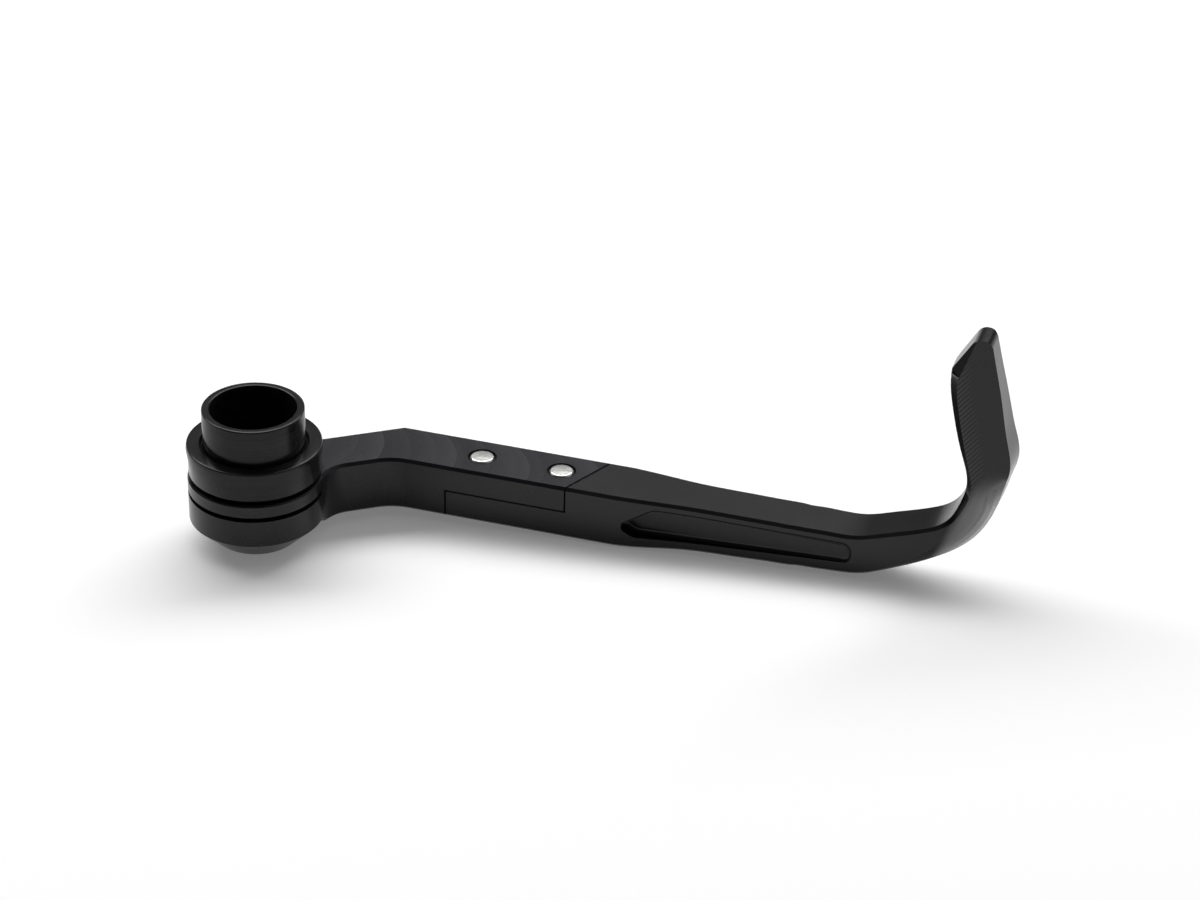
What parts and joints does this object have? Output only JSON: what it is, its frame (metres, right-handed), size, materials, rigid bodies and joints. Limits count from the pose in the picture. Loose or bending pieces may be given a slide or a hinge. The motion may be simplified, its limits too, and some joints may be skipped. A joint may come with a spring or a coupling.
{
  "type": "brake lever guard",
  "caption": "Bar-end guard for a brake lever: a turned sleeve in a round collar, a bent arm, and a slim blade with an upswept tip, pinned to the arm by a half-lap.",
  "frame": {"origin": "on the sleeve's axis, on the flange face that seats against the handlebar's end", "axes": "+Z along the sleeve's axis, out of its mouth; +X along the blade, towards its tip; +Y to the guard's back"},
  "size_m": [0.1919, 0.048, 0.0724],
  "materials": {
    "sleeve_black": "black anodised, fine turned, semi-gloss",
    "arm_black": "black anodised, face-milled, satin",
    "blade_black": "black anodised, milled, satin",
    "pin_steel": "bright ground steel"
  },
  "bodies": {
    "root": {"bar_end_sleeve": "sleeve_black", "guard_arm": "arm_black", "guard_blade": "blade_black", "joint_pin_inner": "pin_steel", "joint_pin_outer": "pin_steel"}
  },
  "joints": []
}
